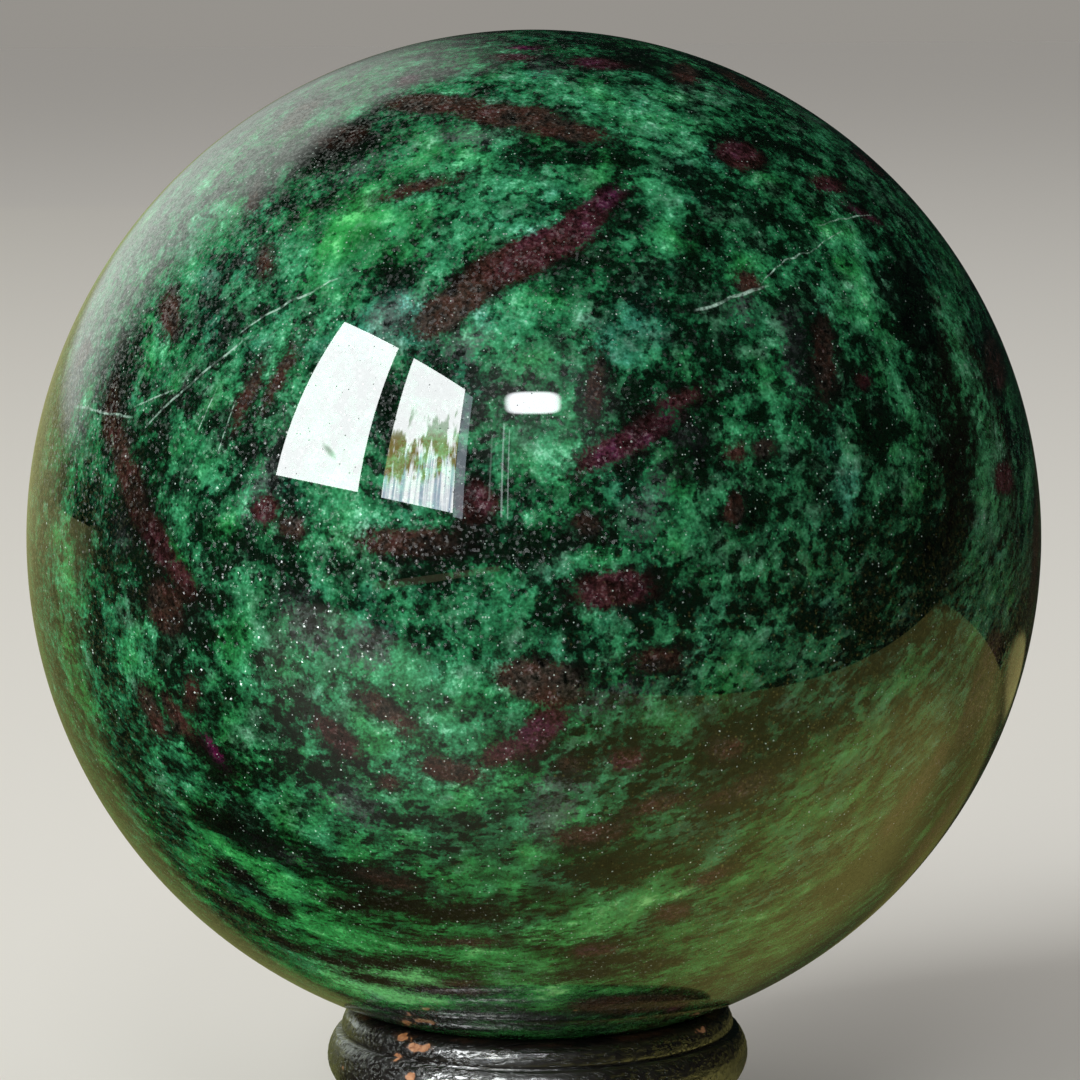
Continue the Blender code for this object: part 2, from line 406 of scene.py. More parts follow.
# The sides and the back go on in the same manner, strewn by a fixed seed.
strewn = {
    "seed": 21,
    "rubies": 58,
    "lights": 30,
    "darks": 34,
    "lilacs": 16,
    "frontEast": 66,  # degrees: inside this the lists above hold
    "frontSouth": -52,
    "top": 74,
    "rubyKinds": (("brown", "wine", "plum", "magenta"), (10, 9, 4, 1)),  # and how often
    "rubyWidth": (1.6, 4.6),  # mm, from and to
    "rubyLength": (1.1, 3.4),  # against its width
    "magentaSize": 0.6,  # against the others
    "zoneWidth": (2.4, 8),
    "zoneLength": (1.2, 3),
    "lilacSize": 0.5,
    "lifts": {"lights": (0.1, 0.3), "darks": (-0.2, -0.45)},
    "lean": 0.6,
}


def strew(s):
    dice = random.Random(s["seed"])
    rubies, patches, greys = [], [], []

    def somewhere():
        while True:
            east = dice.uniform(-180, 180)
            north = math.degrees(math.asin(dice.uniform(-0.99, 0.99)))
            hidden = onBall(east, north).y > -math.cos(math.radians(s["frontEast"]))
            if (hidden and north < s["top"]) or north < s["frontSouth"]:
                return east, north

    for _ in range(s["rubies"]):
        east, north = somewhere()
        kind = dice.choices(*s["rubyKinds"])[0]
        wide = dice.uniform(*s["rubyWidth"]) * (s["magentaSize"] if kind == "magenta" else 1)
        rubies.append((kind, east, north, wide * dice.uniform(*s["rubyLength"]), wide, dice.uniform(-90, 90)))
    for kind in ("lights", "darks", "lilacs"):
        for _ in range(s[kind]):
            east, north = somewhere()
            wide = dice.uniform(*s["zoneWidth"]) * (s["lilacSize"] if kind == "lilacs" else 1)
            lifts = {name: dice.uniform(*lift) for name, lift in s["lifts"].items()}
            lean = dice.uniform(-s["lean"], s["lean"])
            patch = (east, north, wide * dice.uniform(*s["zoneLength"]), wide, dice.uniform(-90, 90))
            if kind == "lilacs":
                greys.append(patch)
            else:
                patches.append((*patch, lifts[kind], lean))
    return rubies, patches, greys


patchForm = {
    "squareness": 2.5,  # 2 is an ellipse
    "depth": (0.8, 3, 1.5),  # of a patch into the stone, against its width, the least width, and what's added
    "wander": ((5.5, 0.8), (1.9, 0.5)),  # the outlines wander: size of the noise and how far, in mm
    "wanderSeed": 21,
    "rubyWander": 0.6,  # how much of that the rubies' outlines follow
    "rubySoftness": 0.5,
    "zoneSoftness": 0.22,
    "farOff": 20.0,  # mm, where no patch is near
    "leafBelow": (-38, -4, 1.1),  # heights in mm from the middle between which it grows leafier, and how much
}


# How far points are from a patch's outline in mm, below 0 inside, and as a multiple of its half size.
def outside(points, east, north, long, wide, turn):
    off = points - np.array(onBall(east, north)) * (ballRadius / mm)
    k = patchForm["squareness"]
    depth, least, more = patchForm["depth"]
    half = np.array((long / 2, wide / 2, depth * max(wide, least) / 2 + more))
    parts = np.abs(off @ np.array(patchAxes(east, north, turn)).T) / half
    far = (parts ** k).sum(1) ** (1 / k)
    return (far - 1) * wide / 2, far


def fillStone(mesh, form):
    points = (meshPoints(mesh) - np.array(ballCentre)) / mm
    bent = points.copy()
    noise.seed_set(form["wanderSeed"])
    for size, reach in form["wander"]:
        bent += np.array([noise.noise_vector(Vector(p) / size) for p in points]) * reach
    bentLess = points + (bent - points) * form["rubyWander"]
    moreRubies, moreZones, moreLilacs = strew(strewn)
    count = len(points)

    ruby = np.full(count, form["farOff"])
    hue = np.zeros(count)
    share = np.full(count, 1e-9)
    placed = [(kind, *row) for kind, rows in inclusions.items() for row in rows]
    for kind, *row in placed + moreRubies:
        gap, _ = outside(bentLess, *row)
        near = np.exp(-np.clip(gap, -3, form["farOff"]) / form["rubySoftness"])
        hue += near * rubyTone[kind]
        share += near
        ruby = np.minimum(ruby, gap)

    # lift from the zones: the stone's own tone, with painted bounce light low down and a painted sheen by the
    # panes
    toneAndPaintedLight, leaf = np.zeros(count), np.zeros(count)
    for *row, lift, lean in zones + moreZones:
        _, far = outside(bent, *row)
        within = 1 / (1 + np.exp((far - 1) / form["zoneSoftness"]))
        toneAndPaintedLight += within * lift
        leaf += within * lean
    low, high, most = form["leafBelow"]
    leaf += most * np.clip((high - points[:, 2]) / (high - low), 0, 1)

    lilac = np.full(count, form["farOff"])
    for row in lilacs + moreLilacs:
        lilac = np.minimum(lilac, outside(bent, *row)[0])

    kept = {"ruby": ruby, "rubyHue": hue / share, "toneAndPaintedLight": toneAndPaintedLight, "leaf": leaf, "lilac": lilac}
    for name, values in kept.items():
        keepValues(mesh, name, values)


# The stone's finish. Sizes in mm, colours as the light of one channel in 0 to 1.
stone = {
    "greens": [
        (0.08, (0.0002, 0.0008, 0.0003)),
        (0.24, (0.0006, 0.0028, 0.0010)),
        (0.37, (0.0018, 0.0140, 0.0052)),
        (0.49, (0.0060, 0.0560, 0.0210)),
        (0.62, (0.0165, 0.1380, 0.0530)),
        (0.78, (0.0420, 0.2700, 0.1200)),
        (0.92, (0.1800, 0.5600, 0.3300)),
    ],
    "rubies": [
        (0.00, (0.0020, 0.0026, 0.0016)),
        (0.10, (0.0200, 0.0165, 0.0130)),
        (0.26, (0.0205, 0.0096, 0.0064)),
        (0.45, (0.0240, 0.0076, 0.0072)),
        (0.65, (0.0270, 0.0074, 0.0110)),
        (0.87, (0.0380, 0.0068, 0.0240)),
        (1.00, (0.1000, 0.0060, 0.0460)),
    ],
    "matSize": 0.95,
    "fineSize": 0.28,
    "grainSize": 0.25,
    "middle": 0.54,  # of the ramp of greens
    "zoneStrength": 0.55,
    "weights": (0.40, 0.90, 0.66, 0.34, 0.09),  # of cloud, clump, mat, fine and grain in the green
    "calmWhere": (0.3, 1.3, 1.0, 0.35),  # how leafy it is, from and to, and how much of the finer is left
    "spotSize": 1.25,  # crisp dark spots, which lie in layers too
    "spotEdge": (0.49, 0.39),
    "spotDepth": 0.20,
    "spotFloor": 0.28,  # no spot makes the green darker than this
    "spotsInDark": (0.5, 0.2),  # fewer where the clouds and the zones are light
    "leafy": (0.76, 1.10, 0.58),  # what these do to the green
    "bluish": (1.1, 0.92, 1.45),
    "leanFully": 1.5,  # how far it leans until it is all leafy or all bluish
    "leanWith": (2.0, 3.2),  # how much the clouds and the sway add to that
    "warm": (1.6, 0.78, 0.85),
    "warmSide": ((0.72, -0.30, -0.62), 12.0, 48.0),  # the stone is yellower this way, from and to
    "greyish": (0.46, 0.74, 0.60),  # the grey, for each part of green that the stone has there
    "greyWith": (0.5, 0.08),  # how much mat and leafiness change that
    "greyWhere": (0.50, 0.76, 0.0, 0.5),
    "lilac": ((0.006, 0.007, 0.007), (0.100, 0.107, 0.113)),
    "lilacRagged": (4.0, 3.0),  # how far mat and fine push its edge, in mm
    "lilacEdge": (0.6, -1.4, 0.0, 0.6),
    "lilacSugar": (0.3, 0.22, 0.80),
    "rind": (0.0035, 0.0032, 0.0026),  # the dark skin round a ruby
    "rindEdge": (1.0, 0.1, 0.0, 0.65),
    "rubyRagged": (1.6, 1.1),
    "rubyEdge": (0.25, -0.35),
    "rubyShift": (0.8, 0.6),  # how clump and mat shift its hue
    "rubySugar": (0.7, 0.3),  # of fine and grain in its sugar
    "rubySpeck": (0.6, 1.3, 0.3, 1.9),  # light and dark grains in it
    "rubyInLight": (0.20, 0.62, 0.45, 1.25),  # and darker where the green round it would be
    "rubyDust": (0.150, 0.120, 0.120),
    "dustWhere": (1.12, 1.42, 0.0, 0.55),
    "vein": (0.36, 0.52, 0.43),
    "veinEdge": 0.3,  # where its full colour begins, against its width
    "veinEnd": 0.72,  # where it starts to fade, against half its length
    "veinBroken": (0.5, 0.62, 0.9, 0.1, 0.75),  # by mat and this much of fine
    "paintedGlint": (0.66, 0.80, 0.72),  # painted glints: pale specks in the colour, where grains would sparkle white through the polish
    "paintedGlintSize": 0.40,
    "paintedGlintChance": (0.25, 0.75, 0.95, 0.88),  # how light the green is, and the share without painted glints there
    "paintedGlintCrowd": (0.52, 0.70, 0.0, 0.10),  # less than that in crowds
    "paintedGlintStrength": (0.65, 0.08),
    "grainTilt": 0.8,
    "grainRoughness": (0.35, 0.12),
    "glints": (0.5, 0.46, 0.09, 1.0),  # which grains glint, their size, how much the rest and they shine
    "pits": (0.26, 0.045, 0.8),  # tiny ones in the polish: their size, their share of the grains and depth
    "polishRoughness": 0.012,
    "polishIor": 1.69,
}

# Fine pale veins: east, north, length in mm, turn in degrees, width in mm, wobble in mm.
veins = [
    (-58, 17.4, 13, 0, 0.16, 0.5), (-41.7, 21.6, 15, 42, 0.17, 0.4), (-31, 30.6, 12, 34, 0.14, 0.9),
    (-47.6, 19.4, 6, 20, 0.12, 0.4), (-38.6, 18.6, 5, 74, 0.11, 0.2), (-35.4, 17, 5.4, 78, 0.09, 0.2),
    (25, 31.4, 9, 14, 0.2, 0.8), (38, 36, 15, 22, 0.12, 1.4), (50, 40.4, 10, 6, 0.12, 1.2),
    (130, 20, 30, 35, 0.16, 1.2), (-150, -10, 26, -50, 0.14, 1), (95, -25, 18, 10, 0.14, 0.9),
]


def stoneFinish(s):
    finish, t, shader = newFinish("polishedStone")
    place = t.add("ShaderNodeTexCoord").outputs["Object"]
    space = t.mapped(place, scale=(1 / mm,) * 3, location=-ballCentre / mm)
    ruby, hue, toneAndPaintedLight, leaf, lilac, cloud, clump = (
        t.kept(name) for name in ("ruby", "rubyHue", "toneAndPaintedLight", "leaf", "lilac", "cloud", "clump"))
    drift = t.parts(t.add("ShaderNodeAttribute", attribute_name="sway").outputs["Vector"])
    layered = layeredPlace(t, space, ball["layersUp"], ball["layersBelow"] / mm, ball["layering"] * mm)
    mat = t.noise(layered, s["matSize"], 2.0, 0.6)
    fine = t.noise(space, s["fineSize"], 1.0)
    grains = t.add("ShaderNodeTexVoronoi", {"Vector": space, "Scale": 1 / s["grainSize"]}).outputs
    pick = t.add("ShaderNodeSeparateColor", {"Color": grains["Color"]}).outputs

    # how light the green is, from broad to fine
    toWarm, low, high = s["warmSide"]
    yellower = t.step(t.vector("DOT_PRODUCT", space, toWarm), low, high)
    calm = t.step(t.plus(leaf, yellower), *s["calmWhere"])
    weights = s["weights"]
    # the zones' lift holds painted bounce light and a painted sheen besides the stone's tone
    light = t.plus(s["middle"], t.times(toneAndPaintedLight, s["zoneStrength"]))
    light = t.mixed(light, (cloud, weights[0]), (clump, weights[1]))
    finer = zip((mat, fine, pick[0]), (t.times(calm, weight) for weight in weights[2:]))
    light = t.mixed(light, *finer)
    spots = t.mixed(t.noise(layered, s["spotSize"], 3.0, 0.55), (cloud, s["spotsInDark"][0]))
    spots = t.plus(spots, t.times(toneAndPaintedLight, s["spotsInDark"][1]))
    spotted = t.minus(light, t.step(spots, *s["spotEdge"], 0.0, s["spotDepth"]))
    light = t.math("MAXIMUM", spotted, t.math("MINIMUM", light, s["spotFloor"]))
    toned = t.ramp(light, s["greens"])

    # leafier or bluer green, and here and there a greyer one
    lean = t.mixed(leaf, (cloud, s["leanWith"][0]), (drift[0], s["leanWith"][1]))
    toned = t.tint(t.step(lean, 0.0, s["leanFully"]), toned, s["leafy"])
    toned = t.tint(t.step(lean, 0.0, -s["leanFully"]), toned, s["bluish"])
    toned = t.tint(yellower, toned, s["warm"])
    ofMat, ofLeaf = s["greyWith"]
    greyed = t.minus(t.mixed(drift[1], (mat, ofMat)), t.times(leaf, ofLeaf))
    amount = t.add("ShaderNodeSeparateColor", {"Color": toned}).outputs[1]
    toned = t.blend(t.step(greyed, *s["greyWhere"]), toned, t.vector("SCALE", s["greyish"], scale=amount))

    # grey lilac patches, sugary at their edges
    ragged = zip((mat, fine), s["lilacRagged"])
    ofGrain, low, high = s["lilacSugar"]
    grey = t.blend(t.step(t.mixed(light, (pick[1], ofGrain)), low, high), *s["lilac"])
    toned = t.blend(t.step(t.mixed(lilac, *ragged), *s["lilacEdge"]), toned, grey)

    # rubies with a dark rind
    edge = t.mixed(ruby, *zip((mat, fine), s["rubyRagged"]))
    toned = t.blend(t.step(edge, *s["rindEdge"]), toned, s["rind"])
    red = t.ramp(t.mixed(hue, *zip((clump, mat), s["rubyShift"])), s["rubies"])
    ofFine, ofGrain = s["rubySugar"]
    sugar = t.plus(t.times(fine, ofFine), t.plus(mat, t.times(pick[1], ofGrain)))
    speck = t.times(t.step(sugar, *s["rubySpeck"]), t.step(light, *s["rubyInLight"]))
    red = t.blend(t.step(sugar, *s["dustWhere"]), t.vector("SCALE", red, scale=speck), s["rubyDust"])
    toned = t.blend(t.step(edge, *s["rubyEdge"]), toned, red)

    # veins: each is a plane through the stone, seen where it meets the skin
    shake = t.minus(drift[1], 0.5)
    vein = 0.0
    for east, north, length, turn, width, wobble in veins:
        _, across, out = patchAxes(east, north, turn)
        aside = t.math("MULTIPLY_ADD", shake, 2 * wobble, t.vector("DOT_PRODUCT", space, across))
        line = t.step(t.math("ABSOLUTE", aside), width, width * s["veinEdge"])
        away = t.vector("DISTANCE", space, out * (ballRadius / mm))
        reach = t.step(away, length / 2, length / 2 * s["veinEnd"])
        vein = t.math("MAXIMUM", vein, t.times(line, reach))
    ofFine, *where = s["veinBroken"]
    broken = t.step(t.plus(mat, t.times(fine, ofFine)), *where)
    toned = t.blend(t.times(vein, broken), toned, s["vein"])

    # painted glints: pale specks put into the colour where grains would catch the light
    near = t.math("LESS_THAN", grains["Distance"], t.times(pick[1], s["paintedGlintSize"]))
    chance = t.minus(t.step(light, *s["paintedGlintChance"]), t.step(drift[2], *s["paintedGlintCrowd"]))
    strength = t.math("MULTIPLY_ADD", t.times(pick[0], pick[0]), *s["paintedGlintStrength"])
    paintedGlint = t.times(t.times(near, t.math("GREATER_THAN", pick[2], chance)), strength)
    t.feed(shader["Base Color"], t.blend(paintedGlint, toned, s["paintedGlint"]))

    # the grains under the polish catch the light one by one
    tilt = t.vector("SUBTRACT", grains["Color"], (0.5, 0.5, 0.5))
    upright = t.add("ShaderNodeNewGeometry").outputs["Normal"]
    leaning = t.vector("ADD", upright, t.vector("SCALE", tilt, scale=s["grainTilt"]))
    t.feed(shader["Normal"], t.vector("NORMALIZE", leaning))
    t.feed(shader["Roughness"], t.step(pick[2], 0.0, 1.0, *s["grainRoughness"]))
    part, size, base, most = s["glints"]
    glint = t.math("LESS_THAN", grains["Distance"], t.times(pick[0], size))
    glint = t.times(glint, t.step(pick[1], part, 1.0, 0.0, most))
    t.feed(shader["Specular IOR Level"], t.plus(glint, base))

    size, share, depth = s["pits"]
    pit = t.times(t.math("LESS_THAN", grains["Distance"], size), t.math("LESS_THAN", pick[2], share))
    t.feed(shader["Coat Weight"], t.minus(1.0, t.times(pit, depth)))
    shader["Coat Roughness"].default_value = s["polishRoughness"]
    shader["Coat IOR"].default_value = s["polishIor"]
    return finish


def makeBall(b):
    piece = turnOut("polishedBall", bpy.data.meshes.new("polishedBall"), ballTree, {
        "Radius": ballRadius,
        "Centre": ballCentre,
        "Points": b["gridPerSide"],
        "Unevenness": b["unevenness"],
        "Uneven Size": b["unevennessSize"],
        "Cloud Size": b["cloudSize"],
        "Clump Size": b["clumpSize"],
        "Sway Size": b["swaySize"],
        "Layers Up": b["layersUp"],
        "Layers Below": b["layersBelow"],
        "Layering": b["layering"],
        "Finish": stoneFinish(stone),
    })
    fillStone(piece.data, patchForm)
    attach(piece, "root")
    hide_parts("stone_sphere")
    print("ball made,", len(piece.data.polygons), "faces")


makeBall(ball)


# The ring stand. Its outline is turned about the upright axis; heights are above the floor, in mm.
ring = {
    "segments": 600,
    "crest": 17.7,  # radius at the crest of the lip
    "lip": ((17.7, 14.3), (1.9, 2.19), 96, -4),  # centre, radii, first and last angle
    "groove": (19.25, 13.97),
    "bead": ((17.4, 11.5), (3.65, 3.65), 41, -60),
    "cove": ((20.5, 6.2), (2.2, 2.2), 140, 240),
    "foot": ((20.7, 2.2), (2.0, 2.0), 110, -60),
    "underside": 21.3,
    "bore": 13.5,
    "chamfer": 0.6,
    "seatGap": 0.04,
    "seatSteps": 5,
    "seatInside": 0.3,  # how far inside the crest the seat ends
    "fineStep": 0.19,  # between points on the mouldings
    "coarseStep": 1.6,  # where nobody looks
    "grainRelief": 0.05,
    "grainSize": 0.42,
    "grainLength": 9.0,  # how much longer than wide a streak of grain is
    "poreEdge": (0.30, 0.52),
    "dentRelief": 0.10,
    "dentSize": 2.6,
    "toolRelief": 0.012,  # fine rings left by the turning tool
    "toolPitch": 0.55,
}

# Where the lacquer is chipped off: east, height in mm, width and height of the chip in mm.
chips = [
    (-43.5, 15.95, 2.2, 0.5), (-36.5, 15.3, 2.6, 0.75), (-43.5, 14.2, 0.8, 0.5), (-36.3, 12.7, 1.1, 0.6),
    (-66, 11.8, 0.5, 0.6), (12, 12.6, 0.5, 0.3), (58, 15.7, 1.6, 0.4), (81, 10.4, 1.2, 0.6),
    (133, 15.6, 2, 0.6), (168, 12.2, 1, 0.7), (-152, 15.9, 1.6, 0.5), (-118, 10.6, 1.4, 0.7),
    (-95, 2.6, 2, 0.8), (35, 2.2, 1.6, 0.6), (150, 2.8, 1.8, 0.7),
]


def roundStretch(stretch, step):
    (across, up), (wide, tall), first, last = stretch
    count = math.ceil(abs(math.radians(last - first)) * max(wide, tall) / step)
    angles = [math.radians(first + (last - first) * i / count) for i in range(count + 1)]
    return [(across + wide * math.cos(a), up + tall * math.sin(a)) for a in angles]


def straight(a, b, step):
    count = max(1, math.ceil(math.dist(a, b) / step))
    return [tuple(p + (q - p) * i / count for p, q in zip(a, b)) for i in range(1, count)]


def ringOutline(r):
    fine, coarse = r["fineStep"], r["coarseStep"]
    lip, bead, cove, foot = (roundStretch(r[name], fine) for name in ("lip", "bead", "cove", "foot"))
    reach = ballRadius / mm + r["seatGap"]
    seat = []
    for i in range(r["seatSteps"] + 1):
        across = r["bore"] + (r["crest"] - r["seatInside"] - r["bore"]) * i / r["seatSteps"]
        seat.append((across, ballCentre.z / mm - math.sqrt(reach ** 2 - across ** 2)))
    points = lip + [r["groove"]] + bead + straight(bead[-1], cove[0], fine) + cove
    points += straight(cove[-1], foot[0], fine) + foot
    corners = [(r["underside"], 0.0), (r["bore"] + r["chamfer"], 0.0), (r["bore"], r["chamfer"]), seat[0]]
    for a, b in zip([foot[-1]] + corners, corners):
        points += straight(a, b, coarse) + [b]
    return points + seat[1:]


def ringTree(t):
    given = t.add("NodeGroupInput").outputs
    outline = t.add("GeometryNodeMeshToCurve", {"Mesh": given["Geometry"]})
    path = t.add("GeometryNodeCurvePrimitiveCircle", {"Resolution": given["Segments"],
                                                      "Radius": given["Path Radius"]})
    upright = t.add("GeometryNodeSetCurveNormal", {"Curve": path.outputs["Curve"]}, mode="Z_UP")
    turned = t.add("GeometryNodeCurveToMesh", {"Curve": upright, "Profile Curve": outline})
    place = t.add("GeometryNodeInputPosition").outputs[0]
    # the grain of the blank runs from left to right
    long = t.add("ShaderNodeCombineXYZ", {0: t.math("DIVIDE", 1.0, given["Grain Length"]), 1: 1.0, 2: 1.0})
    grain = t.noise(t.vector("MULTIPLY", place, long.outputs[0]), given["Grain Size"])
    pores = t.minus(t.step(grain, *ring["poreEdge"]), 1.0)
    dents = t.minus(t.noise(place, given["Dent Size"]), 0.5)
    waves = t.math("SINE", t.times(t.parts(place)[2], t.math("DIVIDE", math.tau, given["Tool Pitch"])))
    lift = t.times(pores, given["Grain Relief"])
    lift = t.math("MULTIPLY_ADD", dents, given["Dent Relief"], lift)
    lift = t.math("MULTIPLY_ADD", waves, given["Tool Relief"], lift)
    away = t.vector("SCALE", t.add("GeometryNodeInputNormal").outputs[0], scale=lift)
    closeTree(t, t.add("GeometryNodeSetPosition", {"Geometry": turned, "Offset": away}), given["Finish"])


# Chips and rubbed edges: how bare the wood is, from 0 to 1, kept with each point, and dug in a little.
wear = {
    "chipDepth": 0.14,
    "dugFrom": 0.4,  # how bare it is where the digging starts
    "ragged": ((0.9, 0.26), (0.33, 0.16)),  # the chips' outlines: size of the noise and how far, in mm
    "softness": 0.10,
    "rubbed": ((16.35, 0.30, 0.42), (11.5, 0.5, 0.22), (2.2, 0.5, 0.3)),  # height, spread and how much
    "rubbedSize": (6.8, 1.7, 1.7),
    "rubbedWhere": (2.2, 0.1),
    "insideCrest": 0.4,  # nothing is worn farther inside the crest than this
}


def wearRing(mesh, w):
    place = meshPoints(mesh)
    points = place / mm
    normals = np.zeros(place.size)
    mesh.vertex_normals.foreach_get("vector", normals)
    shake = np.zeros(len(points))
    for size, reach in w["ragged"]:
        shake += np.array([noise.noise(Vector(p) / size) for p in points]) * reach
    patchy = np.array([noise.noise(Vector(p / np.array(w["rubbedSize"]))) for p in points])

    bare = np.zeros(len(points))
    steep, start = w["rubbedWhere"]
    for height, spread, amount in w["rubbed"]:
        near = np.exp(-((points[:, 2] - height) / spread) ** 2)
        bare = np.maximum(bare, near * amount * np.clip(patchy * steep + start, 0, 1))
    for east, height, wide, tall in chips:
        e = math.radians(east)
        aside = points[:, 0] * math.cos(e) + points[:, 1] * math.sin(e)
        ahead = points[:, 0] * math.sin(e) - points[:, 1] * math.cos(e) > 0
        far = np.hypot(aside / (wide / 2), (points[:, 2] - height) / (tall / 2))
        gap = (far - 1) * tall / 2 + shake
        bare = np.maximum(bare, np.where(ahead, 1 / (1 + np.exp(np.clip(gap / w["softness"], -30, 30))), 0))
    bare *= np.hypot(points[:, 0], points[:, 1]) > ring["crest"] - w["insideCrest"]
    dug = np.clip(bare - w["dugFrom"], 0, 1) * w["chipDepth"] * mm
    mesh.vertices.foreach_set("co", (place - normals.reshape(-1, 3) * dug[:, None]).ravel())
    keepValues(mesh, "wear", bare)
    mesh.update()


wood = {
    "lacquer": ((0.0035, 0.0032, 0.0032), (0.0120, 0.0095, 0.0080), (0.3, 0.7)),  # by the grain
    "thinLacquer": ((0.10, 0.045, 0.022), (0.08, 0.5), 0.35, 0.12),  # colour, where, strength, how dull
    "bareWood": [(0.0, (0.10, 0.030, 0.012)), (0.45, (0.34, 0.130, 0.050)), (1.0, (0.70, 0.36, 0.16))],
    "grainSize": 0.34,
    "grainLength": 10.0,
    "streakSize": 1.5,
    "speckSize": 0.5,
    "ragged": 0.5,  # how much the specks push the edges of the bare places
    "bareEdge": (0.42, 0.58),
    "bareMix": (0.6, 0.5),  # of grain and specks in the bare wood's colour
    "pores": (0.3, 0.5, 0.6),  # in the grain from and to, and how much of the specks
    "lacquerRoughness": (0.3, 0.7, 0.16, 0.38),  # where the streaks run from and to
    "shine": 0.85,
    "dullCrest": (16.15, 15.5, 0.08, 1.0),  # heights from and to, where the ball has rubbed the lip dull
    "bareRoughness": 0.62,
    "poreDepth": 0.07,
    "coat": 0.8,
    "coatRoughness": 0.10,
    "coatIor": 1.7,
}


def woodFinish(s):
    finish, t, shader = newFinish("lacqueredWood")
    space = t.mapped(t.add("ShaderNodeTexCoord").outputs["Object"], scale=(1 / mm,) * 3)
    along = t.mapped(space, scale=(1 / s["grainLength"], 1, 1))
    grain = t.noise(along, s["grainSize"], 3.0, 0.6)
    streak = t.noise(along, s["streakSize"])
    speck = t.noise(space, s["speckSize"], 3.0, 0.6)
    ragged = t.mixed(t.kept("wear"), (speck, s["ragged"]))
    isBare = t.step(ragged, *s["bareEdge"])
    colour, where, strength, dull = s["thinLacquer"]
    thin = t.step(ragged, *where)

    darker, lighter, where = s["lacquer"]
    lacquer = t.blend(t.step(grain, *where), darker, lighter)
    lacquer = t.blend(t.times(thin, strength), lacquer, colour)
    ofGrain, ofSpeck = s["bareMix"]
    timber = t.ramp(t.plus(t.times(grain, ofGrain), t.times(speck, ofSpeck)), s["bareWood"])
    t.feed(shader["Base Color"], t.blend(isBare, lacquer, timber))

    worn = t.plus(t.step(streak, *s["lacquerRoughness"]), t.times(thin, dull))
    t.feed(shader["Roughness"], t.add("ShaderNodeMix", {0: isBare, 2: worn, 3: s["bareRoughness"]}))
    low, high, ofSpeck = s["pores"]
    pores = t.plus(t.step(grain, low, high), t.times(speck, ofSpeck))
    bump = t.add("ShaderNodeBump", {"Height": pores, "Distance": s["poreDepth"] * mm, "Strength": 1.0})
    t.feed(shader["Normal"], bump)
    t.feed(shader["Coat Normal"], bump)
    height = t.parts(space)[2]
    low, high, dull, full = s["dullCrest"]
    glossy = t.times(t.minus(1.0, isBare), t.step(height, low, high, dull, full))
    t.feed(shader["Coat Weight"], t.times(glossy, s["coat"]))
    t.feed(shader["Specular IOR Level"], t.step(height, low, high, dull, s["shine"]))
    shader["Coat Roughness"].default_value = s["coatRoughness"]
    shader["Coat IOR"].default_value = s["coatIor"]
    return finish


def makeRing(r):
    outline = [((across - r["crest"]) * mm, -up * mm, 0) for across, up in ringOutline(r)]
    section = bpy.data.meshes.new("turnedRing")
    section.from_pydata(outline, [(i, (i + 1) % len(outline)) for i in range(len(outline))], [])
    piece = turnOut("turnedRing", section, ringTree, {
        "Path Radius": r["crest"] * mm,
        "Segments": r["segments"],
        "Grain Relief": r["grainRelief"] * mm,
        "Grain Size": r["grainSize"] * mm,
        "Grain Length": r["grainLength"],
        "Dent Relief": r["dentRelief"] * mm,
        "Dent Size": r["dentSize"] * mm,
        "Tool Relief": r["toolRelief"] * mm,
        "Tool Pitch": r["toolPitch"] * mm,
        "Finish": woodFinish(wood),
    })
    wearRing(piece.data, wear)
    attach(piece, "root")
    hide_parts("ring_stand")
    print("ring made,", len(piece.data.polygons), "faces, outline of", len(outline), "points")


makeRing(ring)


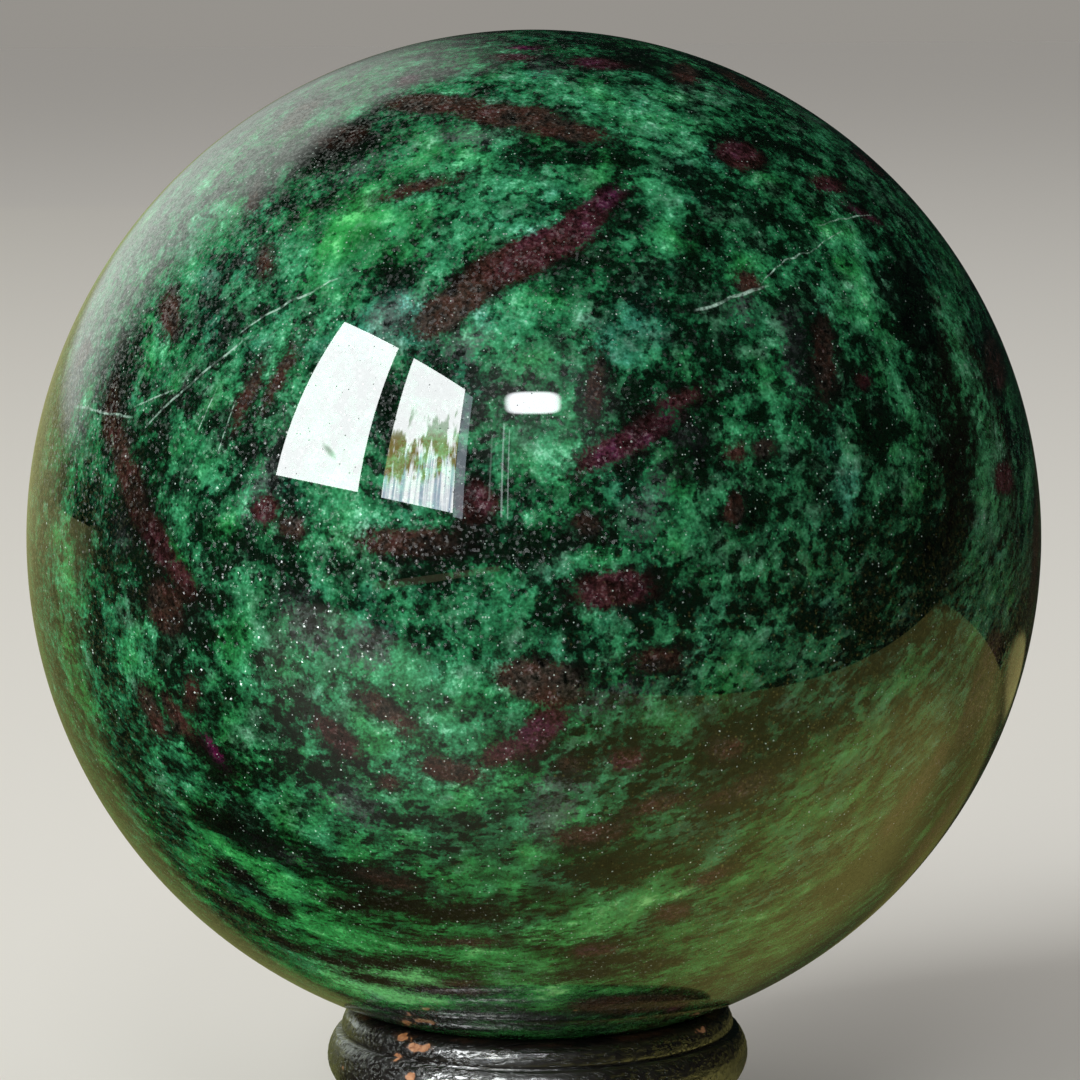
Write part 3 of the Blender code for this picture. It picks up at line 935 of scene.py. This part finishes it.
# The stage: a plain pale floor, a dim room, two panes of light and a small lamp.
stage = {
    "floorColour": (0.80, 0.76, 0.70),
    "floorSize": 60.0,
    "floorRoughness": 0.9,
    "floorShine": 0.1,
    "fill": 0.40,  # light from all round on what isn't glossy
    "horizon": 0.95,  # seen past the floor's far edge, against the fill: as light as the floor is there
    "darkRoom": (0.004, 0.007, 0.006),  # what the polish mirrors where nothing else stands
    "panesTurn": -60.0,  # degrees east of the front, the way to the panes
    "panesFar": 2.4,
    # each pane: its left and right edge, foot and head, as parts of panesFar, and its light
    "panes": [(0.0, 0.375, 0.272, 1.06, 13.7), (0.49, 0.91, 0.27, 1.05, 13.6)],
    # dimmer strips beside them, which only the polish mirrors, with how far they rise to the right
    "strips": [(0.913, 0.985, 0.25, 1.03, 0.0, (2.0, 2.3, 2.6)),
               (1.315, 1.335, 0.31, 0.99, 0.0, (2.6, 3.0, 3.0)),
               (1.385, 1.400, 0.31, 0.97, 0.0, (2.2, 2.5, 2.5)),
               (1.195, 1.212, 0.40, 0.84, 0.0, (0.9, 1.1, 1.0)),
               (0.465, 1.314, -0.106, -0.072, 0.082, (0.32, 0.26, 0.16))],
    "paneLight": (0.96, 1.0, 1.0),
    "smudge": ((0.21, 0.405), (0.055, 0.018), -32),  # on the first pane: middle, half sizes and turn
    "smudgeEdge": (1.1, 0.2, 0.0, 0.8),
    "smudgeColour": (0.26, 0.33, 0.26),
    "strokesAt": (0.56, 0.55, 0.28, 0.24),  # on the second: height, where that is, rise to the right, reach
    "strokes": ((0.055, 3.0, 0.6), 0.22, 0.26, (0.60, 0.70), (0.0, 0.2)),  # noise, flatness, crowd, edge, ends
    "strokeColours": ((0.20, 0.155, 0.045), (0.38, 0.50, 0.38), (-0.02, 0.09)),  # below, above, and between
    "streaks": ((0.022, 2.0, 0.6), 0.04, (0.40, 0.62), (-0.03, -0.10)),
    "streakColour": (0.34, 0.43, 0.52),
    "lamp": (0.0, 35.2, 2.0, 0.43, 0.185, 16.0),  # east, north, how far, width, height, light
    "lampColour": (0.94, 0.97, 1.0),
    "lampEdge": (1.0, 0.25),
    "halo": (6.0, 3.4, 0.30),  # round the lamp: how far, how much wider than it, and its light
    # cards that only the polish mirrors: a low one on the floor, a dark one that stands on it and a pale one.
    # The low one is a painted reflection of the lit table, with painted pools of light and painted shadows of
    # the ball and the ring
    "lowEdge": ((-2600.0, -1680.0), (362.0, 38.0)),  # in mm on the floor
    "lowBack": 2500.0,
    # the low card's light where nothing else is laid on: dark, which under the ball stands for the painted
    # shade of the ball and the ring
    "lowLight": (0.014, 0.014, 0.009),
    # painted light and shade on the low card, laid on in turn: two lit places, the ball's shadow on the table
    # in two steps, another lit place and the window's sheen on the table; each with its middle in mm, half
    # length and width, turn, softness and light
    "paintedLightAndShadow": [((160.0, -20.0), (210.0, 170.0), 30.0, 0.5, (0.25, 0.235, 0.072)),
                    ((92.0, -15.0), (95.0, 52.0), 25.0, 0.8, (0.60, 0.54, 0.155)),
                    ((76.0, 70.0), (76.0, 54.0), 30.0, 0.7, (0.13, 0.12, 0.035)),
                    ((26.0, 46.0), (46.0, 46.0), 0.0, 0.8, (0.04, 0.04, 0.02)),
                    ((148.0, 200.0), (46.0, 64.0), 0.0, 0.5, (0.32, 0.28, 0.105)),
                    ((-175.0, -192.0), (225.0, 76.0), 36.0, 0.45, (0.38, 0.37, 0.31))],
    "placesReach": 1.08,
    "behindFrom": (-108.0, -122.0),  # degrees east: it is lighter from here on
    "pastRingShadow": (20.0, 34.0),  # mm from its middle: nearer than this lies the painted shadow of the ring
    "behindLight": ((0.17, 0.18, 0.062), (0.36, 0.36, 0.155), (100.0, 900.0)),  # near, far, and mm between
    "darkCard": ((362.0, 38.0), (165.0, 124.0), 160.0),  # its two feet and its height in mm
    "darkLight": (0.012, 0.010, 0.008),
    "paleCard": (-114.0, -180.0, -1.0, 50.0, 1.2),  # from east to east, from north to north, how far
    "paleLight": (0.97, 1.07, 0.97),
    "paleFades": ((-176, -144, 0.40, 1.1), (-118, -138)),  # degrees east
    "paleTop": (50, 42),  # degrees north
    "paleFoot": ((0.38, 0.40, 0.18), (-122, -140), (3, 8)),  # its colour, degrees east and north
    "backFade": (-180, -168),  # degrees east: the low and the pale card fade out towards the back
}


def aimed(name, data, place, facing):
    thing = addObject(name, data)
    z = -facing.normalized()
    x = Vector((0, 0, 1)).cross(z).normalized()
    thing.matrix_world = Matrix.Translation(place) @ Matrix((x, z.cross(x), z)).transposed().to_4x4()
    thing.visible_camera = False
    return thing


# Degrees east of the front and north of the level, of a place about the ball's centre.
def bearings(t, place):
    x, y, z = t.parts(place)
    east = t.math("DEGREES", t.math("ARCTAN2", x, t.times(y, -1.0)))
    north = t.math("DEGREES", t.math("ARCSINE", t.math("DIVIDE", z, t.vector("LENGTH", place))))
    return east, north


# How far out a place lies in a turned ellipse: 0 in its middle, 1 on its outline.
def inEllipse(t, place, middle, half, turn):
    settings = {"location": (*middle, 0), "rotation": (0, 0, math.radians(turn)), "scale": (*half, 1)}
    return t.vector("LENGTH", t.mapped(place, turned=True, **settings))


# The same for a rounder or squarer shape, from its two half axes, each divided by its length squared.
def inShape(t, place, axes, power):
    parts = (t.math("ABSOLUTE", t.vector("DOT_PRODUCT", place, axis)) for axis in axes)
    return t.plus(*(t.math("POWER", part, power) for part in parts))


# An area light whose surface has this radiance, and the tree and the colour socket of its light.
def softPanel(name, width, height, light):
    data = bpy.data.lights.new(name, "AREA")
    data.shape = "RECTANGLE"
    data.size, data.size_y = width, height
    data.energy = light * width * height * math.pi
    data.use_nodes = True
    return data, Tree(data.node_tree), data.node_tree.nodes["Emission"].inputs["Color"]


# A plain sheet that only the polish mirrors, of an even light of its own: its tree and its light's sockets.
def mirroredCard(name, corners, light):
    mesh = bpy.data.meshes.new(name)
    mesh.from_pydata([tuple(c) for c in corners], [], [tuple(range(len(corners)))])
    card = addObject(name, mesh)
    finish = bpy.data.materials.new(name)
    finish.use_nodes = True
    finish.cycles.emission_sampling = "NONE"
    t = Tree(finish.node_tree)
    t.tree.nodes.remove(t.tree.nodes["Principled BSDF"])
    glow = t.add("ShaderNodeEmission", {"Color": (*light, 1), "Strength": 1.0})
    t.feed(t.tree.nodes["Material Output"].inputs["Surface"], glow)
    mesh.materials.append(finish)
    card.visible_camera = card.visible_diffuse = card.visible_shadow = card.visible_transmission = False
    return t, glow.inputs


# The panes' light isn't even: a smudge on the first, strokes and streaks on the second.
def smudgedLight(t, at, s):
    out = inEllipse(t, at, *s["smudge"])
    return t.blend(t.step(out, *s["smudgeEdge"]), s["paneLight"], s["smudgeColour"])


def strokedLight(t, at, s):
    across, up, _ = t.parts(at)
    level, middle, rise, reach = s["strokesAt"]
    above = t.minus(up, t.plus(level, t.times(t.minus(across, middle), rise)))
    near = t.minus(1.0, t.math("DIVIDE", t.math("ABSOLUTE", above), reach))
    grain, flat, crowd, edge, ends = s["strokes"]
    strokes = t.plus(t.noise(t.mapped(at, scale=(1, flat, 1)), *grain), t.times(near, crowd))
    strokes = t.times(t.step(strokes, *edge), t.step(near, *ends))
    grain, flat, edge, below = s["streaks"]
    streaks = t.step(t.noise(t.mapped(at, scale=(1, flat, 1)), *grain), *edge)
    look = t.blend(t.times(streaks, t.step(above, *below)), s["paneLight"], s["streakColour"])
    lower, upper, between = s["strokeColours"]
    return t.blend(strokes, look, t.blend(t.step(above, *between), lower, upper))


def makeFloor(s):
    half = s["floorSize"] / 2
    mesh = bpy.data.meshes.new("floor")
    corners = [(-half, -half, 0), (half, -half, 0), (half, half, 0), (-half, half, 0)]
    mesh.from_pydata(corners, [], [(0, 1, 2, 3)])
    floor = addObject("floor", mesh)
    finish, _, shader = newFinish("paleFloor")
    shader["Base Color"].default_value = (*s["floorColour"], 1)
    shader["Roughness"].default_value = s["floorRoughness"]
    shader["Specular IOR Level"].default_value = s["floorShine"]
    mesh.materials.append(finish)
    floor.visible_glossy = False


def makePanes(s):
    turn = math.radians(s["panesTurn"])
    ahead = Vector((math.sin(turn), -math.cos(turn), 0))
    along = Vector((math.cos(turn), math.sin(turn), 0))
    far = s["panesFar"]

    def spot(across, up):
        return ballCentre + (ahead + along * across + Vector((0, 0, up))) * far

    for i, (left, right, foot, head, light) in enumerate(s["panes"]):
        data, t, colour = softPanel("lightPane%d" % (i + 1), (right - left) * far, (head - foot) * far, light)
        place = t.vector("SUBTRACT", t.add("ShaderNodeNewGeometry").outputs["Position"], ballCentre)
        up = t.math("DIVIDE", t.parts(place)[2], far)
        at = t.add("ShaderNodeCombineXYZ", {0: t.vector("DOT_PRODUCT", place, along / far), 1: up}).outputs[0]
        t.feed(colour, strokedLight(t, at, s) if i else smudgedLight(t, at, s))
        aimed(data.name, data, spot((left + right) / 2, (foot + head) / 2), -ahead)
    for i, (left, right, foot, head, rise, light) in enumerate(s["strips"]):
        corners = [spot(left, foot), spot(right, foot + rise), spot(right, head + rise), spot(left, head)]
        mirroredCard("mirroredStrip%d" % (i + 1), corners, light)


def makeLowAndDarkCards(s):
    (leftX, leftY), (rightX, rightY) = s["lowEdge"]
    sheet = [(leftX, leftY), (rightX, rightY), (rightX, s["lowBack"]), (leftX, s["lowBack"])]
    light = s["lowLight"]
    t, glow = mirroredCard("mirroredLow", [(x * mm, y * mm, 0.2 * mm) for x, y in sheet], light)
    place = t.here()
    reach = s["placesReach"]
    # painted pools of light and painted shadows of the ball on the table, laid on in turn
    for middle, half, turn, soft, more in s["paintedLightAndShadow"]:
        out = inEllipse(t, place, [x * mm for x in middle], [x * mm for x in half], turn)
        light = t.blend(t.step(out, reach, reach - soft), light, more)
    # the lit table behind on the left, with the ring's painted shadow near the middle
    east, _ = bearings(t, place)
    away = t.math("DIVIDE", t.vector("LENGTH", place), mm)
    behind = t.times(t.step(east, *s["behindFrom"]), t.step(away, *s["pastRingShadow"]))
    near, far, between = s["behindLight"]
    more = t.blend(t.step(away, *between), near, far)
    t.feed(glow["Color"], t.blend(t.times(behind, t.step(east, *s["backFade"])), light, more))
    (ax, ay), (bx, by), tall = s["darkCard"]
    corners = [Vector(p) * mm for p in ((ax, ay, 0), (bx, by, 0), (bx, by, tall), (ax, ay, tall))]
    mirroredCard("mirroredDark", corners, s["darkLight"])


def makePaleCard(s):
    fromEast, toEast, low, high, far = s["paleCard"]
    corners = []
    for east, north in ((fromEast, low), (toEast, low), (toEast, high), (fromEast, high)):
        corners.append(ballCentre + onBall(east, north) * far / math.cos(math.radians(north)))
    t, glow = mirroredCard("mirroredPale", corners, s["paleLight"])
    place = t.here(ballCentre)
    east, north = bearings(t, place)
    fade = t.step(east, *s["backFade"])
    bright = t.times(*(t.step(east, *where) for where in s["paleFades"]))
    bright = t.times(t.times(bright, t.step(north, *s["paleTop"])), fade)
    bright = t.vector("SCALE", s["paleLight"], scale=bright)
    colour, where, heights = s["paleFoot"]
    foot = t.vector("SCALE", colour, scale=t.times(t.step(east, *where), fade))
    t.feed(glow["Color"], t.blend(t.step(north, *heights), foot, bright))


def makeLamp(s):
    east, north, far, width, height, light = s["lamp"]
    out = onBall(east, north)
    data, t, colour = softPanel("smallLamp", width, height, light)
    lamp = aimed(data.name, data, ballCentre + out * far, -out)
    side, rise, _ = lamp.matrix_world.to_3x3().transposed()
    place = t.vector("SUBTRACT", t.add("ShaderNodeNewGeometry").outputs["Position"], ballCentre + out * far)
    edge = inShape(t, place, (side / (width / 2), rise / (height / 2)), 4.0)
    t.feed(colour, t.blend(t.step(edge, *s["lampEdge"]), (0, 0, 0), s["lampColour"]))

    behind, wider, light = s["halo"]
    away = ballCentre + out * behind
    across = side * (width * wider / 2 * behind / far)
    up = rise * (height * wider * behind / far)
    corners = [away + across * a + up * b for a, b in ((-1, -1), (1, -1), (1, 1), (-1, 1))]
    t, glow = mirroredCard("mirroredHalo", corners, (light,) * 3)
    place = t.here(away)
    edge = inShape(t, place, [axis / axis.length_squared for axis in (across, up)], 2.0)
    t.feed(glow["Strength"], t.step(edge, 1.0, 0.0))


def makeRoom(s):
    world = bpy.data.worlds.new("room")
    bpy.context.scene.world = world
    world.use_nodes = True
    t = Tree(world.node_tree)
    path = t.add("ShaderNodeLightPath").outputs
    lit = t.blend(path["Is Glossy Ray"], (s["fill"],) * 3, s["darkRoom"])
    horizon = tuple(s["horizon"] * s["fill"] * c for c in s["floorColour"])
    t.feed(t.tree.nodes["Background"].inputs["Color"], t.blend(path["Is Camera Ray"], lit, horizon))


makeFloor(stage)
makePanes(stage)
makeLowAndDarkCards(stage)
makePaleCard(stage)
makeLamp(stage)
makeRoom(stage)
bpy.context.scene.view_settings.view_transform = "Standard"
print("stage set")
